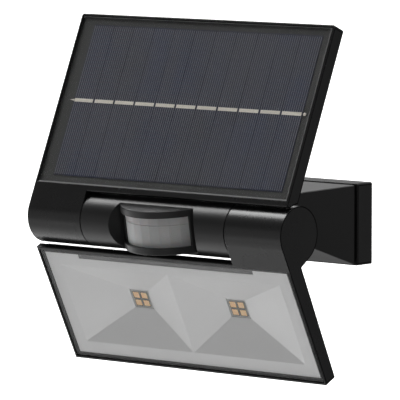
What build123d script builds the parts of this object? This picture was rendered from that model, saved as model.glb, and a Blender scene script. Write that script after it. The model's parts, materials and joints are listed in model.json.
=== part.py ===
from build123d import *
import os
from math import acos, atan2, cos, hypot, radians, sin, sqrt

# A solar wall light. A flared arm holds a horizontal barrel off the wall. The barrel has
# three parts on one axis: a fixed hub with a motion sensor in the middle, the solar
# panel's lug on the left and the lamp head's lug on the right. The panel leans up and
# back from the barrel, the lamp head leans down and back from it.
#
# Frame: millimetres, origin at the middle of the wall plate's back face, +X to the
# right as seen from in front, +Y into the wall, +Z up.

# ---- Driving dimensions -------------------------------------------------------------
BODY_WIDTH = 176.0          # both slabs and the whole barrel, along X
BARREL_RADIUS = 15.0
AXIS_Y = -120.0             # the barrel's axis, in front of the wall
AXIS_Z = 5.8                # and above the middle of the wall plate
LUG_LENGTH = 38.0
SEAM = 0.6                  # slit between the hub and each lug
SWEEP_CLEARANCE = 1.3       # slabs to the barrel that they swing round
WALL = 2.2                  # usual thickness of the mouldings

PANEL_TILT = 23.0           # degrees back from upright
PANEL_FOOT = 10.3           # lower edge, measured along the slab from the axis
PANEL_TOP = 109.6
PANEL_THICKNESS = 7.7
PANEL_RIM = 1.2
LAMINATE_FOOT = 13.4        # lower edge of the glass
LAMINATE_DEPTH = 2.4
CELL_COUNT = 11
CELL_LEFT = -77.6           # the row of cells is a little right of the middle
CELL_RIGHT = 81.4
CELL_FOOT = 18.1
CELL_TOP = 103.7
CELL_GAP = 0.25
RIBBON_HEIGHT = 60.6        # the collector ribbon, along the slab from the axis
RIBBON_WIDTH = 1.9

LAMP_TILT = 26.4            # degrees back from straight down
LAMP_TOP = 11.7
LAMP_FOOT = 82.1
LAMP_THICKNESS_TOP = 9.4    # the lamp head tapers towards its foot
LAMP_THICKNESS_FOOT = 7.5
LAMP_RIM = 1.7
LED_SPACING = 67.6
LED_HEIGHT = 46.0
LED_BAY_DEPTH = 5.6         # raised bay behind the light-emitting diodes
LUG_CORNER = 16.0           # where a lug's rear edge meets its slab

SENSOR_TILT = 9.8           # degrees that the motion sensor looks down
SENSOR_SEAT = 8.7           # its flat seat in the hub, from the axis
SENSOR_HALF_CHORD = 25.35
SENSOR_RADIUS = 31.0
SENSOR_TOP = 12.2
SENSOR_FOOT = -11.3
SEAT_MOUTH = 60.0           # length of the slanted seat cut at the barrel's surface

PLATE_WIDTH = 80.0
PLATE_HEIGHT = 44.4
PLATE_DEPTH = 12.4
PLATE_GROOVE = 1.9          # dark joint between plate and arm
ARM_INSET = 0.8             # arm's flange inside the plate's outline
ARM_FLARE = 43.7            # length of the flare, from the flange to the neck
NECK_WIDTH = 44.0
NECK_TOP = 12.0             # above the barrel's axis
NECK_FOOT = -8.6            # below the barrel's axis
BOLT_SPACING = 50.0
BOLT_RADIUS = 2.5

AXLE_RADIUS = 5.0
AXLE_BORE = 2.4
AXLE_CLEARANCE = 0.06
BATTERY_RADIUS = 9.2
BATTERY_LENGTH = 65.0
BUTTON_RADIUS = 4.0
BUTTON_TRAVEL = 1.0

# ---- Sizes that follow from them ----------------------------------------------------
HALF_WIDTH = BODY_WIDTH / 2
LUG_FACE = HALF_WIDTH - LUG_LENGTH + SEAM / 2
HUB_HALF = LUG_FACE - SEAM
HUB_BORE = BARREL_RADIUS - WALL
SWEEP_RADIUS = BARREL_RADIUS + SWEEP_CLEARANCE
PANEL_BACK = BARREL_RADIUS - PANEL_THICKNESS
LAMP_BACK_TOP = BARREL_RADIUS - LAMP_THICKNESS_TOP
LAMP_BACK_FOOT = BARREL_RADIUS - LAMP_THICKNESS_FOOT
END_CAP = 3.0

# Local frames: X stays along the barrel. In the slab frames Z is the distance from the
# barrel's axis towards the front face; in the panel's frame Y runs up the slab, and in
# the lamp's frame Y runs up it too, so the lamp head lies at negative Y.
AXIS_POINT = (0, AXIS_Y, AXIS_Z)


def facing(angle):
    """The frame on the barrel's axis whose Z looks forward and up by an angle."""
    normal = (0, -cos(radians(angle)), sin(radians(angle)))
    return Plane(origin=AXIS_POINT, x_dir=(1, 0, 0), z_dir=normal).location


HUB = Location(AXIS_POINT)
PANEL = facing(PANEL_TILT)
LAMP = facing(-LAMP_TILT)
SENSOR = facing(-SENSOR_TILT)
WORLD = Location((0, 0, 0))

nodes = {}


def add(name, frame, *solids):
    """Keep one node: its solids, moved from a local frame to the wall frame."""
    placed = []
    for solid in solids:
        placed += [piece for piece in (frame * solid).solids()]
    nodes[name] = Compound(children=placed) if len(placed) > 1 else placed[0]


# ---- Shapes used throughout ---------------------------------------------------------
def block(xs, ys, zs):
    """A box between two corners, given as (low, high) pairs."""
    spans = (xs, ys, zs)
    size = [high - low for low, high in spans]
    middle = [(high + low) / 2 for low, high in spans]
    return Pos(*middle) * Box(*size)


def rod_x(radius, x0, x1, y=0.0, z=0.0):
    """A round bar along X."""
    return Pos((x0 + x1) / 2, y, z) * Rot(0, 90, 0) * Cylinder(radius, abs(x1 - x0))


def rod_z(radius, z0, z1, x=0.0, y=0.0):
    """A round bar along Z."""
    return Pos(x, y, (z0 + z1) / 2) * Cylinder(radius, abs(z1 - z0))


def rod_y(radius, y0, y1, x=0.0, z=0.0):
    """A round bar along Y."""
    return Pos(x, (y0 + y1) / 2, z) * Rot(90, 0, 0) * Cylinder(radius, abs(y1 - y0))


def frame_ring(xs, ys, zs, width):
    """A rectangular ring of one width, in the XY plane of its frame."""
    inner = block(
        (xs[0] + width, xs[1] - width), (ys[0] + width, ys[1] - width), (zs[0] - 1, zs[1] + 1)
    )
    return block(xs, ys, zs) - inner


def prism_x(outline, x0, x1):
    """An outline of (y, z) points, extended along X from x0 to x1."""
    wire = Polyline([(x0, y, z) for y, z in outline], close=True)
    return extrude(make_face(wire), amount=x1 - x0, dir=(1, 0, 0))


def prism_y(outline, y0, y1):
    """An outline of (x, z) points, extended along Y from y0 to y1."""
    wire = Polyline([(x, y0, z) for x, z in outline], close=True)
    return extrude(make_face(wire), amount=y1 - y0, dir=(0, 1, 0))


def funnel(wide, wide_z, narrow, narrow_z):
    """A four-sided funnel along Z between two rectangles, each (x0, x1, y0, y1)."""
    sections = []
    for (x0, x1, y0, y1), z in ((wide, wide_z), (narrow, narrow_z)):
        middle = Pos((x0 + x1) / 2, (y0 + y1) / 2, z)
        sections.append(middle * Rectangle(x1 - x0, y1 - y0))
    return loft(sections, ruled=True)


def flared_tube(back, back_y, front, front_y):
    """A four-sided flare along Y between two rectangles, each (half width, z0, z1)."""
    sections = []
    for (half, z0, z1), y in ((back, back_y), (front, front_y)):
        upright = Plane(origin=(0, y, (z0 + z1) / 2), x_dir=(1, 0, 0), z_dir=(0, -1, 0))
        sections.append(upright * Rectangle(2 * half, z1 - z0))
    return loft(sections, ruled=True)


def screw_z(x, y, z, shank, head_radius, head, shank_radius=1.15):
    """A pan-head screw along Z. Its head starts at z and its shank goes the other way."""
    turn = 1 if shank < 0 else -1
    body = rod_z(head_radius, min(z, z + turn * head), max(z, z + turn * head), x, y)
    top = z + turn * head
    reach = min(SLOT_LENGTH, 2 * head_radius - 0.8) / 2
    for along, across in ((reach, SLOT_WIDTH / 2), (SLOT_WIDTH / 2, reach)):
        body -= block(
            (x - along, x + along), (y - across, y + across), (top - SLOT_DEPTH, top + SLOT_DEPTH)
        )
    return body + rod_z(shank_radius, min(z, z + shank), max(z, z + shank), x, y)


# ---- Lugs and hinges, the same on both sides ----------------------------------------
BOSS_CIRCLE = 8.4           # screws that hold the hinge axle's flange to its lug
BOSS_RADIUS = 2.6
FLANGE = 3.0
FLANGE_RADIUS = HUB_BORE - 0.2
LUG_BORE = HUB_BORE - 0.1
AXLE_REACH = 9.0            # how far the shaft reaches into the hub
THREAD_FIT = 0.03           # radial gap that stands for a thread
WASHER_RADIUS = 8.0
WASHER_SHEET = 0.8
WASHER_DISH = 0.5
NUT_WIDTH = 14.0
NUT_THICKNESS = 3.4
SCREW_CLEARANCE = 1.2       # radius of a hole that a small screw passes through
PILOT_RADIUS = 1.1
PILOT_DEPTH = 10.0
COUNTERBORE = 1.6
COUNTERBORE_RADIUS = 2.4
SLOT_LENGTH = 3.0           # cross recess in a screw's head
SLOT_WIDTH = 0.7
SLOT_DEPTH = 0.4
HEAD_RADIUS = 2.3           # pan heads of the small screws
HEAD_HEIGHT = 1.2


def boss_places():
    """(y, z) of the three axle screws, around the barrel's axis."""
    for turn in (90, 210, 330):
        yield BOSS_CIRCLE * cos(radians(turn)), BOSS_CIRCLE * sin(radians(turn))


def lug_tangent(slab_back):
    """Where the lug's rear face leaves the barrel, as an angle from the slab's direction."""
    corner = atan2(slab_back, LUG_CORNER)
    return corner - acos(BARREL_RADIUS / hypot(LUG_CORNER, slab_back))


def lug(side, slab, slab_back):
    """A slab's share of the barrel.

    side is +1 at the right and -1 at the left, slab is +1 where the slab lies at
    positive Y, and slab_back is the height of the slab's back face above the axis.
    """
    inner = side * LUG_FACE
    outer = side * HALF_WIDTH
    near, far = sorted((inner, outer))
    turn = lug_tangent(slab_back)
    web = [
        (0, 0),
        (0, BARREL_RADIUS),
        (slab * LUG_CORNER, BARREL_RADIUS),
        (slab * LUG_CORNER, slab_back),
        (slab * BARREL_RADIUS * cos(turn), BARREL_RADIUS * sin(turn)),
    ]
    body = rod_x(BARREL_RADIUS, near, far) + prism_x(web, near, far)
    floor = outer - side * WALL
    body -= rod_x(LUG_BORE, *sorted((inner, floor)))
    shoulder = inner + side * FLANGE
    for y, z in boss_places():
        boss = rod_x(BOSS_RADIUS, *sorted((shoulder, floor)), y, z)
        pilot = rod_x(PILOT_RADIUS, *sorted((shoulder, shoulder + side * PILOT_DEPTH)), y, z)
        body += boss - pilot
    return body


def hinge_axle(side):
    """Flange in the lug's mouth with a hollow shaft that runs through the hub's end cap."""
    mouth = side * LUG_FACE
    body = rod_x(FLANGE_RADIUS, *sorted((mouth, mouth + side * FLANGE)))
    body += rod_x(AXLE_RADIUS, *sorted((side * (HUB_HALF - AXLE_REACH), mouth)))
    body -= rod_x(AXLE_BORE, *sorted((side * (HUB_HALF - 2 * AXLE_REACH), mouth + side * AXLE_REACH)))
    for y, z in boss_places():
        body -= rod_x(SCREW_CLEARANCE, *sorted((mouth, mouth + side * FLANGE)), y, z)
        body -= rod_x(COUNTERBORE_RADIUS, *sorted((mouth, mouth + side * COUNTERBORE)), y, z)
    return body


def axle_screws(side):
    """Three screws, sunk in the axle's flange, that bite into the lug's bosses."""
    mouth = side * LUG_FACE
    top = mouth + side * 0.3
    seat = mouth + side * COUNTERBORE
    tip = mouth + side * (FLANGE + PILOT_DEPTH - 2)
    screws = []
    for y, z in boss_places():
        head = rod_x(COUNTERBORE_RADIUS - 0.2, *sorted((top, seat)), y, z)
        for width, height in ((SLOT_LENGTH, SLOT_WIDTH), (SLOT_WIDTH, SLOT_LENGTH)):
            head -= block(
                sorted((top, top + side * SLOT_DEPTH)),
                (y - width / 2, y + width / 2),
                (z - height / 2, z + height / 2),
            )
        shank = rod_x(PILOT_RADIUS - 0.05, *sorted((seat, tip)), y, z)
        screws.append(head + shank)
    return screws


def friction_washer(side):
    """Dished washer that gives the hinge its drag, beside the end cap's inner face."""
    face = side * (HUB_HALF - END_CAP - 0.15)
    middle = face - side * WASHER_SHEET
    back = middle - side * WASHER_DISH
    flat = rod_x(WASHER_RADIUS, *sorted((face, middle)))
    dish = rod_x(WASHER_RADIUS - 1.2, *sorted((middle, back)))
    return flat + dish - rod_x(AXLE_RADIUS + THREAD_FIT, *sorted((face, back)))


def axle_nut(side):
    """Hexagonal nut on the shaft's thread."""
    face = side * (HUB_HALF - END_CAP - 0.2 - WASHER_SHEET - WASHER_DISH)
    profile = Plane(origin=(face, 0, 0), x_dir=(0, 1, 0), z_dir=(-side, 0, 0))
    hexagon = profile * RegularPolygon(NUT_WIDTH / 2, 6, major_radius=False)
    nut = extrude(hexagon, amount=NUT_THICKNESS)
    return nut - rod_x(AXLE_RADIUS + THREAD_FIT, *sorted((face, face - side * NUT_THICKNESS)))


# ---- Solar panel --------------------------------------------------------------------
PANEL_FLOOR = PANEL_BACK + 1.8
LAMINATE_BACK = BARREL_RADIUS - LAMINATE_DEPTH
LAMINATE_LEDGE = 4.0        # the tray's step that the laminate is glued to
RIB_PLACES = (-42.0, 0.0, 42.0)
RIB_HALF = 0.8
PASSAGE_X = (-80.0, -58.0)  # way for wires from the panel into its lug
CELL_PITCH = (CELL_RIGHT - CELL_LEFT) / CELL_COUNT
RIBBON_INSET = 0.7
RIBBON_TAIL = 2.9
BACKSHEET_TOP = LAMINATE_BACK + 1.0
CELL_LAYER = (BACKSHEET_TOP, BACKSHEET_TOP + 0.25)
RIBBON_LAYER = (CELL_LAYER[1], CELL_LAYER[1] + 0.12)
GLASS_LAYER = (BARREL_RADIUS - 0.95, BARREL_RADIUS - 0.15)
SEAL_WIDTH = 0.5
LAMINATE_X = (-HALF_WIDTH + PANEL_RIM + SEAL_WIDTH, HALF_WIDTH - PANEL_RIM - SEAL_WIDTH)
LAMINATE_Y = (LAMINATE_FOOT + SEAL_WIDTH, PANEL_TOP - PANEL_RIM - SEAL_WIDTH)


def panel_housing():
    """Shallow tray for the laminate, in one piece with the left lug."""
    rim = (-HALF_WIDTH, HALF_WIDTH)
    tray = block(rim, (PANEL_FOOT, PANEL_TOP), (PANEL_BACK, BARREL_RADIUS))
    tray = fillet(tray.edges().filter_by(Axis.Z).group_by(Axis.Y)[-1], 1.5)
    tray = tray_with_soft_edges(tray)
    tray -= rod_x(SWEEP_RADIUS, -LUG_FACE, HALF_WIDTH + 1)
    tray += lug(-1, 1, PANEL_BACK)
    recess = (-HALF_WIDTH + PANEL_RIM, HALF_WIDTH - PANEL_RIM)
    recess_top = PANEL_TOP - PANEL_RIM
    hollow_foot = LAMINATE_FOOT + LAMINATE_LEDGE + 1
    tray -= block(recess, (LAMINATE_FOOT, recess_top), (LAMINATE_BACK, BARREL_RADIUS + 1))
    tray -= block(
        (recess[0] + LAMINATE_LEDGE, recess[1] - LAMINATE_LEDGE),
        (hollow_foot, recess_top - LAMINATE_LEDGE),
        (PANEL_FLOOR, BARREL_RADIUS),
    )
    for x in RIB_PLACES:
        span = (x - RIB_HALF, x + RIB_HALF)
        tray += block(span, (LAMINATE_FOOT + 4, PANEL_TOP - 5), (PANEL_FLOOR - 0.5, LAMINATE_BACK))
    return tray - block(PASSAGE_X, (4, hollow_foot + 1), (PANEL_FLOOR, PANEL_FLOOR + 2))


def tray_with_soft_edges(tray):
    """Break the sharp edges around a slab's front face."""
    front = tray.faces().sort_by(Axis.Z)[-1]
    return chamfer(front.edges(), 0.35)


def solar_cells():
    """A row of upright cell strips, side by side."""
    cells = []
    for index in range(CELL_COUNT):
        left = CELL_LEFT + index * CELL_PITCH
        span = (left + CELL_GAP / 2, left + CELL_PITCH - CELL_GAP / 2)
        cells.append(block(span, (CELL_FOOT, CELL_TOP), CELL_LAYER))
    return cells


def collector_ribbon():
    """A tinned ribbon across each cell, with a pointed tail at the left end."""
    half = RIBBON_WIDTH / 2
    pieces = []
    for index in range(CELL_COUNT):
        left = CELL_LEFT + index * CELL_PITCH
        span = (left + RIBBON_INSET, left + CELL_PITCH - RIBBON_INSET)
        pieces.append(block(span, (RIBBON_HEIGHT - half, RIBBON_HEIGHT + half), RIBBON_LAYER))
    tail = Polyline(
        [
            (CELL_LEFT + 0.4, RIBBON_HEIGHT - half * 0.6),
            (CELL_LEFT + 0.4, RIBBON_HEIGHT + half * 0.6),
            (CELL_LEFT - RIBBON_TAIL, RIBBON_HEIGHT),
        ],
        close=True,
    )
    thickness = RIBBON_LAYER[1] - RIBBON_LAYER[0]
    pieces.append(Pos(0, 0, RIBBON_LAYER[0]) * extrude(make_face(tail), amount=thickness))
    return pieces


def ribbon_solder():
    """The solder dot at the ribbon's right end, on the backsheet."""
    return rod_z(0.9, BACKSHEET_TOP, BACKSHEET_TOP + 0.35, CELL_RIGHT + 1.3, RIBBON_HEIGHT)


panel_glass = block(LAMINATE_X, LAMINATE_Y, GLASS_LAYER)
panel_glass = chamfer(panel_glass.faces().sort_by(Axis.Z)[-1].edges(), 0.3)
panel_seal = frame_ring(
    (LAMINATE_X[0] - SEAL_WIDTH, LAMINATE_X[1] + SEAL_WIDTH),
    (LAMINATE_Y[0] - SEAL_WIDTH, LAMINATE_Y[1] + SEAL_WIDTH),
    (LAMINATE_BACK, BARREL_RADIUS - 0.6),
    SEAL_WIDTH,
)

add("panel_housing", PANEL, panel_housing())
add("panel_backsheet", PANEL, block(LAMINATE_X, LAMINATE_Y, (LAMINATE_BACK, BACKSHEET_TOP)))
add("solar_cells", PANEL, *solar_cells())
add("collector_ribbon", PANEL, *collector_ribbon())
add("ribbon_solder", PANEL, ribbon_solder())
add("panel_glass", PANEL, panel_glass)
add("panel_seal", PANEL, panel_seal)
add("panel_junction_block", PANEL, block((-74, -62), (20, 28), (PANEL_FLOOR, LAMINATE_BACK)))
add("panel_hinge_axle", PANEL, hinge_axle(-1))
add("panel_axle_screws", PANEL, *axle_screws(-1))
add("panel_friction_washer", PANEL, friction_washer(-1))
add("panel_axle_nut", PANEL, axle_nut(-1))

# ---- Lamp head ----------------------------------------------------------------------
LAMP_SLOPE = (LAMP_BACK_FOOT - LAMP_BACK_TOP) / (LAMP_FOOT - LAMP_TOP)
LAMP_WALL = 1.5
GLASS_RECESS = 2.0
LAMP_LEDGE = 1.6
LAMP_PASSAGE_X = (58.0, 80.0)   # way for wires from the lamp head into its lug
LAMP_PASSAGE_Z = (7.6, 10.6)
BAY_SLOPE = 3.0             # run of the bay's slanted sides
BAY_X = (-70.0, 70.0)
BAY_Y = (-69.0, -27.0)
BAY_BACK = LAMP_BACK_TOP + LAMP_SLOPE * (LED_HEIGHT - LAMP_TOP) - LED_BAY_DEPTH
BOARD_LAYER = (BAY_BACK + LAMP_WALL + 0.3, BAY_BACK + LAMP_WALL + 1.3)
LED_LAYER = (BOARD_LAYER[1], BOARD_LAYER[1] + 0.8)
REFLECTOR_FACE = BARREL_RADIUS - GLASS_RECESS
REFLECTOR_SHEET = 1.0
REFLECTOR_X = 84.3
REFLECTOR_Y = (-78.6, -15.2)
FUNNEL_X = 76.7
FUNNEL_Y = (-71.2, -22.8)
RIDGE = 0.2
LED_WINDOW = (6.6, 5.6)     # half width and half height of the opening round a cluster
RETAINER_X = (-60.5, 61.0)
RETAINER_Y = (-17.7, -15.2)
BORDER_WIDTH = 1.4
LAMP_GLASS_X = HALF_WIDTH - LAMP_RIM - 0.2
LAMP_GLASS_Y = (-LAMP_FOOT + LAMP_RIM + 0.2, -LAMP_TOP - LAMP_RIM - 0.2)
LAMP_GLASS_LAYER = (BARREL_RADIUS - 1.55, BARREL_RADIUS - 0.25)
GASKET_TOP = LAMP_GLASS_LAYER[0] - 0.15
LED_PITCH = (5.5, 4.7)      # inside a cluster, along X and Y
LED_HALF = (2.5, 2.1)
PHOSPHOR_HALF = (2.1, 1.75)
PHOSPHOR_DEPTH = 0.3


def lamp_back(u, wall=0.0):
    """Z of the lamp head's tapered back at a distance u below the axis."""
    return LAMP_BACK_TOP + LAMP_SLOPE * (u - LAMP_TOP) + wall


def lamp_housing():
    """Tray for the reflector and glass, in one piece with the right lug."""
    outline = [
        (-LAMP_TOP, BARREL_RADIUS),
        (-LAMP_FOOT, BARREL_RADIUS),
        (-LAMP_FOOT, lamp_back(LAMP_FOOT)),
        (-LAMP_TOP, lamp_back(LAMP_TOP)),
    ]
    tray = prism_x(outline, -HALF_WIDTH, HALF_WIDTH)
    corners = tray.edges().filter_by(Axis.Z)
    tray = fillet(corners.sort_by(Axis.Y)[:2], 1.2)
    tray = tray_with_soft_edges(tray)
    bay = funnel(
        (BAY_X[0] - BAY_SLOPE, BAY_X[1] + BAY_SLOPE, BAY_Y[0] - BAY_SLOPE, BAY_Y[1] + BAY_SLOPE),
        lamp_back(LED_HEIGHT) + 0.8,
        (*BAY_X, *BAY_Y),
        BAY_BACK,
    )
    tray += bay
    tray -= rod_x(SWEEP_RADIUS, -HALF_WIDTH - 1, LUG_FACE)
    tray += lug(1, -1, lamp_back(LUG_CORNER))
    rim = (HALF_WIDTH - LAMP_RIM, -LAMP_FOOT + LAMP_RIM, -LAMP_TOP - LAMP_RIM)
    tray -= block((-rim[0], rim[0]), (rim[1], rim[2]), (REFLECTOR_FACE, BARREL_RADIUS + 1))
    hollow_top = -rim[2] + LAMP_LEDGE
    hollow_foot = -rim[1] - LAMP_LEDGE
    hollow = [
        (-hollow_top, REFLECTOR_FACE + 0.1),
        (-hollow_foot, REFLECTOR_FACE + 0.1),
        (-hollow_foot, lamp_back(hollow_foot, LAMP_WALL)),
        (-hollow_top - 4.2, lamp_back(hollow_top, LAMP_WALL)),
        (-hollow_top, REFLECTOR_FACE - 2.4),
    ]
    tray -= prism_x(hollow, -rim[0] + LAMP_LEDGE, rim[0] - LAMP_LEDGE)
    tray -= block(
        (BAY_X[0] + LAMP_WALL, BAY_X[1] - LAMP_WALL),
        (BAY_Y[0] + LAMP_WALL, BAY_Y[1] - LAMP_WALL),
        (BAY_BACK + LAMP_WALL, REFLECTOR_FACE - 1),
    )
    return tray - block(LAMP_PASSAGE_X, (-hollow_top - 5, -4), LAMP_PASSAGE_Z)


def reflector():
    """One moulded sheet with two four-sided funnels, each ending at a cluster."""
    sheet_back = REFLECTOR_FACE - REFLECTOR_SHEET
    sheet = block((-REFLECTOR_X, REFLECTOR_X), REFLECTOR_Y, (sheet_back, REFLECTOR_FACE))
    rim_z = BOARD_LAYER[1]
    throat_z = rim_z + 0.6
    openings = []
    for side in (-1, 1):
        near, far = sorted((side * RIDGE, side * FUNNEL_X))
        wide = (near, far, *FUNNEL_Y)
        middle = side * LED_SPACING / 2
        throat = (
            middle - LED_WINDOW[0],
            middle + LED_WINDOW[0],
            -LED_HEIGHT - LED_WINDOW[1],
            -LED_HEIGHT + LED_WINDOW[1],
        )
        lip = (throat[0] - 3, throat[1] + 3, throat[2] - 3, throat[3] + 3)
        sheet += funnel(wide, sheet_back, lip, rim_z)
        openings.append(funnel(wide, REFLECTOR_FACE, throat, throat_z))
        openings.append(block(throat[:2], throat[2:], (rim_z - 1, throat_z)))
    for opening in openings:
        sheet -= opening
    notch_y = (RETAINER_Y[0], RETAINER_Y[1] + 1)
    return sheet - block(RETAINER_X, notch_y, (REFLECTOR_FACE - 2, REFLECTOR_FACE + 1))


def led_places():
    """(x, y) of every light-emitting diode: two clusters of two by two."""
    for side in (-1, 1):
        for column in (-1, 1):
            for row in (-1, 1):
                x = (side * LED_SPACING + column * LED_PITCH[0]) / 2
                yield x, row * LED_PITCH[1] / 2 - LED_HEIGHT


def led_block(place, half, layer):
    """A block round one light-emitting diode's middle."""
    x, y = place
    return block((x - half[0], x + half[0]), (y - half[1], y + half[1]), layer)


def led_packages():
    """White ceramic bodies with a shallow cup for the phosphor."""
    cup = (LED_LAYER[1] - PHOSPHOR_DEPTH, LED_LAYER[1] + 1)
    return [
        led_block(place, LED_HALF, LED_LAYER) - led_block(place, PHOSPHOR_HALF, cup)
        for place in led_places()
    ]


def led_phosphors():
    """Yellow phosphor that fills each package's cup."""
    layer = (LED_LAYER[1] - PHOSPHOR_DEPTH, LED_LAYER[1] - 0.02)
    return [led_block(place, PHOSPHOR_HALF, layer) for place in led_places()]


lamp_glass = block((-LAMP_GLASS_X, LAMP_GLASS_X), LAMP_GLASS_Y, LAMP_GLASS_LAYER)
lamp_glass = chamfer(lamp_glass.faces().sort_by(Axis.Z)[-1].edges(), 0.3)

add("lamp_housing", LAMP, lamp_housing())
add("lamp_glass", LAMP, lamp_glass)
add(
    "glass_border",
    LAMP,
    frame_ring(
        (-LAMP_GLASS_X, LAMP_GLASS_X),
        LAMP_GLASS_Y,
        (GASKET_TOP, LAMP_GLASS_LAYER[0]),
        BORDER_WIDTH,
    ),
)
add(
    "glass_gasket",
    LAMP,
    frame_ring(
        (-LAMP_GLASS_X, LAMP_GLASS_X),
        LAMP_GLASS_Y,
        (REFLECTOR_FACE, GASKET_TOP),
        BORDER_WIDTH - 0.1,
    ),
)
add("reflector", LAMP, reflector())
add(
    "reflector_retainer",
    LAMP,
    block(RETAINER_X, RETAINER_Y, (REFLECTOR_FACE - 1.4, REFLECTOR_FACE - 0.2)),
)
add(
    "thermal_pad",
    LAMP,
    block((-45, 45), (-54.5, -38.5), (BAY_BACK + LAMP_WALL, BOARD_LAYER[0])),
)
add("led_board", LAMP, block((-47, 47), (-55.5, -37.5), BOARD_LAYER))
add("led_packages", LAMP, *led_packages())
add("led_phosphors", LAMP, *led_phosphors())
add("lamp_hinge_axle", LAMP, hinge_axle(1))
add("lamp_axle_screws", LAMP, *axle_screws(1))
add("lamp_friction_washer", LAMP, friction_washer(1))
add("lamp_axle_nut", LAMP, axle_nut(1))

# ---- Hub: the fixed middle of the barrel --------------------------------------------
SEAT_WALL = 1.8
SPIGOT_HALF = NECK_WIDTH / 2 - WALL - 0.15
SPIGOT_END = 32.0           # behind the axis
SPIGOT_Z = (NECK_FOOT + WALL + 0.15, NECK_TOP - WALL - 0.15)
BOARD_POSTS = ((-15.5, -6.4), (15.5, -6.4), (-15.5, 6.4), (15.5, 6.4))
BOARD_Z = (SENSOR_SEAT + 0.9, SENSOR_SEAT + 1.9)
HOLDER_X = (BATTERY_LENGTH / 2 + 2.2, BATTERY_LENGTH / 2 + 4.4)
BATTERY_Z = SENSOR_SEAT - SEAT_WALL - BATTERY_RADIUS - 0.5
ARM_SCREW_X = 12.0
ARM_SCREW_Y = 25.0          # behind the axis
POST_RADIUS = 1.6
POST_BORE = 0.95
SEAL_RING = (13.4, 14.5)    # inner and outer radius of the wiper in each end of the hub
SEAL_SLACK = 0.06           # from the wiper to its groove's sides and to the turning lug
SEAL_GROOVE_DEPTH = 1.0


def seat_outline(offset=0.0):
    """The sensor seat in section, with slanted cheeks, moved into the hub by an offset."""
    deep = SENSOR_SEAT - offset
    run = SEAT_MOUTH / 2 - SENSOR_HALF_CHORD
    rise = BARREL_RADIUS - SENSOR_SEAT
    slope = run / rise
    shift = offset * hypot(run, rise) / rise
    half_deep = SENSOR_HALF_CHORD + shift - slope * offset
    high = BARREL_RADIUS + 4
    half_high = SEAT_MOUTH / 2 + shift + slope * 4
    return [(-half_high, high), (-half_deep, deep), (half_deep, deep), (half_high, high)]


def hub_shell():
    """Tube with a flat seat and slanted cheeks for the sensor, and a rear spigot."""
    reach = BARREL_RADIUS + 5
    tube = rod_x(BARREL_RADIUS, -HUB_HALF, HUB_HALF)
    cavity = rod_x(HUB_BORE, -HUB_HALF - 1, HUB_HALF + 1)
    cavity -= prism_y(seat_outline(SEAT_WALL), -reach, reach)
    tube -= prism_y(seat_outline(), -reach, reach)
    tube = SENSOR * tube
    spigot = HUB * block((-SPIGOT_HALF, SPIGOT_HALF), (4, SPIGOT_END), SPIGOT_Z)
    spigot -= HUB * block(
        (-SPIGOT_HALF + WALL, SPIGOT_HALF - WALL),
        (BARREL_RADIUS + WALL, SPIGOT_END + 1),
        (SPIGOT_Z[0] + 3.0, SPIGOT_Z[1] - WALL),
    )
    tube += spigot
    tube -= SENSOR * cavity
    tube -= SENSOR * seal_groove(-1)
    tube -= SENSOR * seal_groove(1)
    tube -= SENSOR * block((-12.5, 12.5), (-6, 6), (0, SENSOR_SEAT + 1))
    tube -= HUB * rod_y(2.6, 0, SPIGOT_END, 0, SPIGOT_Z[1] - WALL - 3.2)
    for x in (-ARM_SCREW_X, ARM_SCREW_X):
        tube -= HUB * rod_z(1.2, SPIGOT_Z[0] - 1, SPIGOT_Z[0] + 4, x, ARM_SCREW_Y)
    for x, y in BOARD_POSTS:
        tube += SENSOR * (
            rod_z(POST_RADIUS, SENSOR_SEAT - 0.5, BOARD_Z[0], x, y)
            - rod_z(POST_BORE, SENSOR_SEAT - 0.5, BOARD_Z[0] + 1, x, y)
        )
    return tube


def hub_end_cap(side):
    """Disc that closes the hub and carries one hinge axle."""
    outer = side * HUB_HALF
    cap = rod_x(HUB_BORE - 0.05, *sorted((outer, outer - side * END_CAP)))
    cap -= rod_x(AXLE_RADIUS + AXLE_CLEARANCE, *sorted((outer, outer - side * END_CAP)))
    return cap


def ring_x(inner, outer, start, end):
    """Square-cut ring round the X axis."""
    span = sorted((start, end))
    return rod_x(outer, *span) - rod_x(inner, *span)


def seal_groove(side):
    """Groove in the end of the hub's tube."""
    inner, outer = SEAL_RING
    floor = side * (HUB_HALF - SEAL_GROOVE_DEPTH)
    return ring_x(inner - SEAL_SLACK, outer + SEAL_SLACK, floor, side * (HUB_HALF + 1))


def hinge_seal(side):
    """Rubber wiper that closes the seam to the turning lug."""
    floor = side * (HUB_HALF - SEAL_GROOVE_DEPTH + SEAL_SLACK)
    return ring_x(*SEAL_RING, floor, side * (LUG_FACE - SEAL_SLACK))


add("hub_shell", WORLD, hub_shell())
add("hub_end_caps", SENSOR, hub_end_cap(-1), hub_end_cap(1))
add("hinge_seals", SENSOR, hinge_seal(-1), hinge_seal(1))

# ---- Motion sensor ------------------------------------------------------------------
SENSOR_WALL = 2.0
LENS_WALL = 0.8
WINDOW_HALF = 23.7
WINDOW_Y = (-7.7, 8.5)
LENS_CENTRE = SENSOR_SEAT - sqrt(SENSOR_RADIUS**2 - SENSOR_HALF_CHORD**2)
BOARD_SIZE = (35.6, 16.6)
CAN_FLANGE = 4.6            # the pyroelectric sensor's metal can
CAN_RADIUS = 4.1
CAN_HEIGHT = 4.2


def bow(radius, ys, floor):
    """A cylinder's front segment, standing on the plane z = floor."""
    low, high = ys
    drum = Pos(0, (low + high) / 2, LENS_CENTRE) * Rot(90, 0, 0) * Cylinder(radius, high - low)
    return drum & block((-radius, radius), (low - 1, high + 1), (floor, LENS_CENTRE + radius + 1))


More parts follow.
